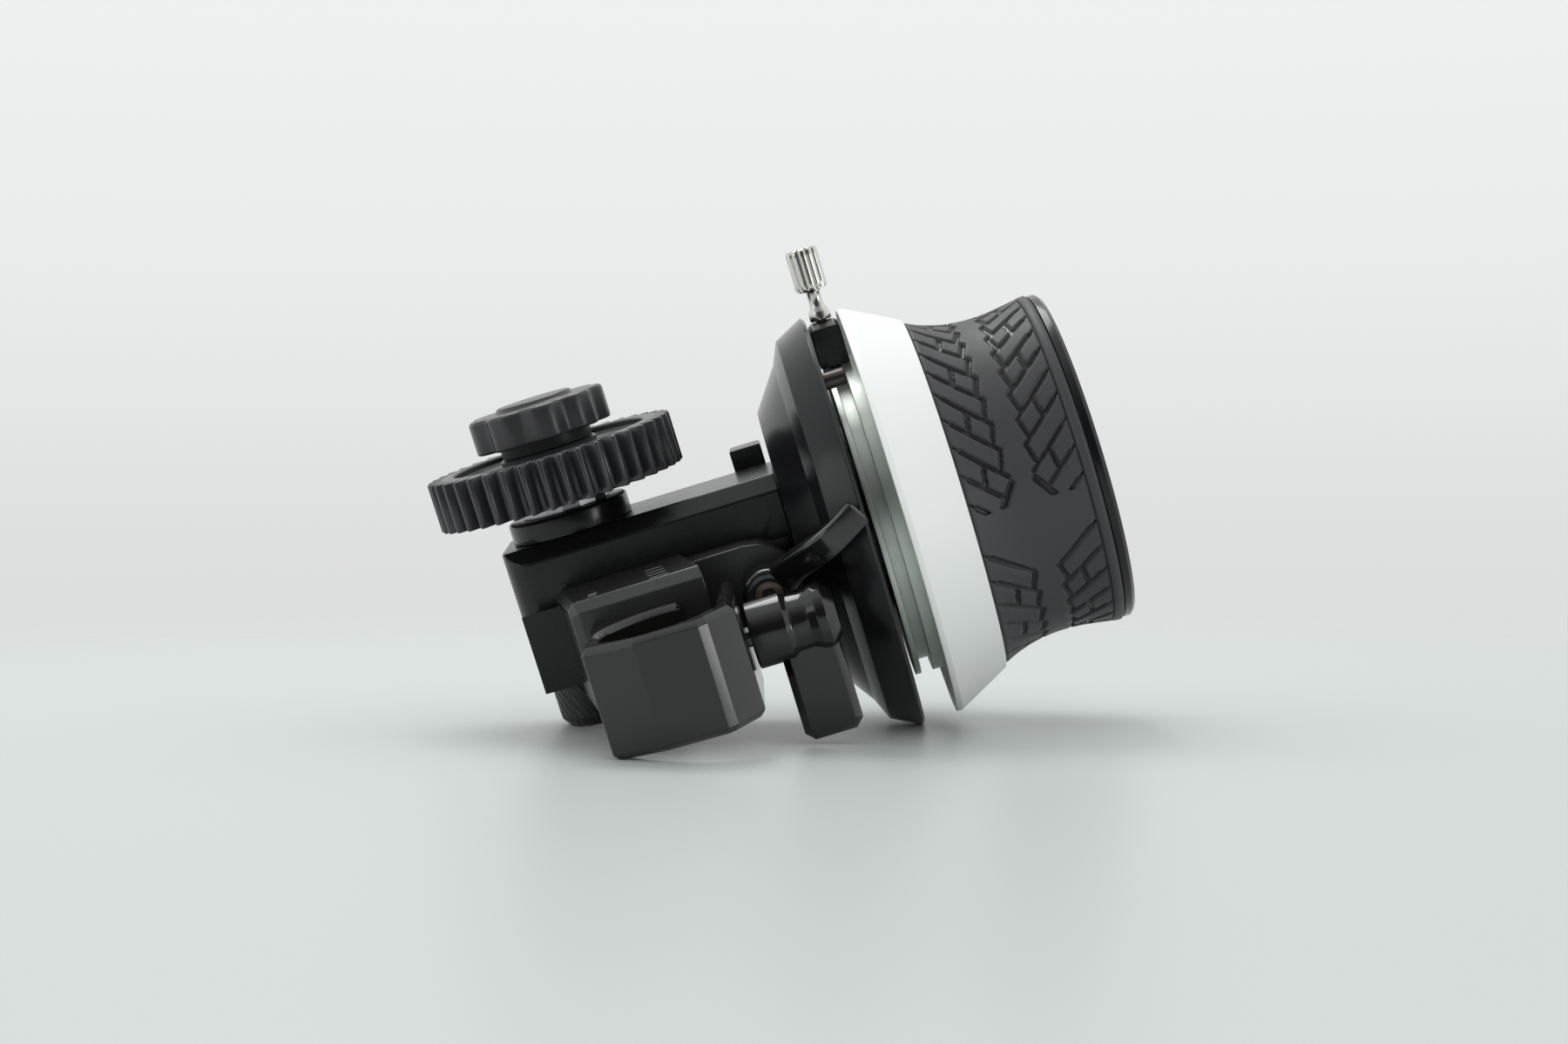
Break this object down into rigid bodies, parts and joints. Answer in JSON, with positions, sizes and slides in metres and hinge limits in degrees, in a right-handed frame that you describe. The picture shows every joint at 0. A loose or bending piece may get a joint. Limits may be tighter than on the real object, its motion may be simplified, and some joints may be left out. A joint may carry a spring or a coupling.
{
  "type": "mini follow focus",
  "caption": "Mini follow focus with a rod clamp, a hand wheel with a white marking disc and stops, and a toothed drive gear.",
  "frame": {"origin": "on the axis of the 15 mm rod's bore, halfway up the clamp", "axes": "+Z along the rod's bore and the drive gear's axis, +X along the hand wheel's axis towards the grip"},
  "size_m": [0.0851, 0.0835, 0.0657],
  "materials": {
    "black_anodised": "satin black anodised",
    "moulded_plastic": "matte",
    "grip_rubber": "matte",
    "white_plastic": "matte",
    "satin_nickel": "satin nickel",
    "steel": "satin",
    "bronze": "satin",
    "brass": "satin"
  },
  "bodies": {
    "gearbox": {"gearbox_housing": "black_anodised", "flange": "black_anodised", "stop_pin": "steel", "flange_screw_1": "steel", "flange_screw_2": "steel", "flange_screw_3": "steel", "flange_screw_4": "steel", "wheel_bushing_inner": "bronze", "wheel_bushing_outer": "bronze", "drive_bushing_upper": "bronze", "drive_bushing_lower": "bronze", "lower_cap": "black_anodised", "top_collar": "black_anodised", "slide_rail": "black_anodised", "rail_screw_1": "steel", "rail_screw_2": "steel", "rear_lug": "black_anodised"},
    "wheel": {"wheel_shaft": "steel", "wheel_bevel_gear": "brass", "stop_ring": "satin_nickel", "wheel_hub": "moulded_plastic", "marking_disc": "white_plastic", "grip_sleeve": "grip_rubber", "end_plate": "black_anodised", "end_plate_screw_1": "steel", "end_plate_screw_2": "steel", "end_plate_screw_3": "steel", "wheel_end_screw": "steel"},
    "drive": {"drive_shaft": "steel", "drive_bevel_gear": "brass", "drive_gear": "moulded_plastic"},
    "gear_knob": {"gear_knob": "moulded_plastic"},
    "stop_a": {"stop_a_block": "black_anodised", "stop_a_shoe": "steel"},
    "stop_b": {"stop_b_block": "black_anodised", "stop_b_shoe": "steel"},
    "stop_a_screw": {"stop_a_thumbscrew": "satin_nickel"},
    "stop_b_screw": {"stop_b_thumbscrew": "satin_nickel"},
    "slider": {"slider": "black_anodised", "lock_pad": "bronze", "rod_clamp": "black_anodised", "clamp_base_screw_1": "steel", "clamp_base_screw_2": "steel"},
    "clamp_lever": {"clamp_lever": "black_anodised", "clamp_screw": "steel"},
    "lock_lever": {"lock_lever": "black_anodised", "lock_screw": "satin_nickel"}
  },
  "joints": [
    {"name": "wheel_turn", "type": "hinge", "parent": "gearbox", "child": "wheel", "pos_m": [0.04, 0.038, 0.00575], "axis": [1, 0, 0], "range_deg": [-197, 23]},
    {"name": "drive_turn", "type": "hinge", "parent": "gearbox", "child": "drive", "pos_m": [-0.01, 0.038, 0.02425], "axis": [0, 0, 1], "range_deg": [-197, 23]},
    {"name": "gear_knob_turn", "type": "hinge", "parent": "drive", "child": "gear_knob", "pos_m": [-0.01, 0.038, 0.03175], "axis": [0, 0, 1], "range_deg": [0, 90]},
    {"name": "stop_a_slide", "type": "hinge", "parent": "wheel", "child": "stop_a", "pos_m": [0.0298, 0.038, 0.00575], "axis": [1, 0, 0], "range_deg": [-40, 0]},
    {"name": "stop_b_slide", "type": "hinge", "parent": "wheel", "child": "stop_b", "pos_m": [0.0298, 0.038, 0.00575], "axis": [1, 0, 0], "range_deg": [0, 30]},
    {"name": "stop_a_screw_turn", "type": "hinge", "parent": "stop_a", "child": "stop_a_screw", "pos_m": [0.0298, 0.038, 0.03975], "axis": [0, 0, 1], "range_deg": [0, 180]},
    {"name": "stop_b_screw_turn", "type": "hinge", "parent": "stop_b", "child": "stop_b_screw", "pos_m": [0.0298, 0.06995, -0.00588], "axis": [0, 0.9397, -0.342], "range_deg": [0, 180]},
    {"name": "slider_slide", "type": "slide", "parent": "gearbox", "child": "slider", "axis": [1, 0, 0], "range_m": [-0.01, 0]},
    {"name": "clamp_lever_turn", "type": "hinge", "parent": "slider", "child": "clamp_lever", "pos_m": [0.015, 0.0096, 0], "axis": [1, 0, 0], "range_deg": [-90, 0]},
    {"name": "lock_lever_turn", "type": "hinge", "parent": "slider", "child": "lock_lever", "pos_m": [0.0132, 0.018, 0.00335], "axis": [0, -1, 0], "range_deg": [0, 60]}
  ],
  "couplings": [
    {"joint": "drive_turn", "follows": "wheel_turn", "ratio": 1}
  ]
}
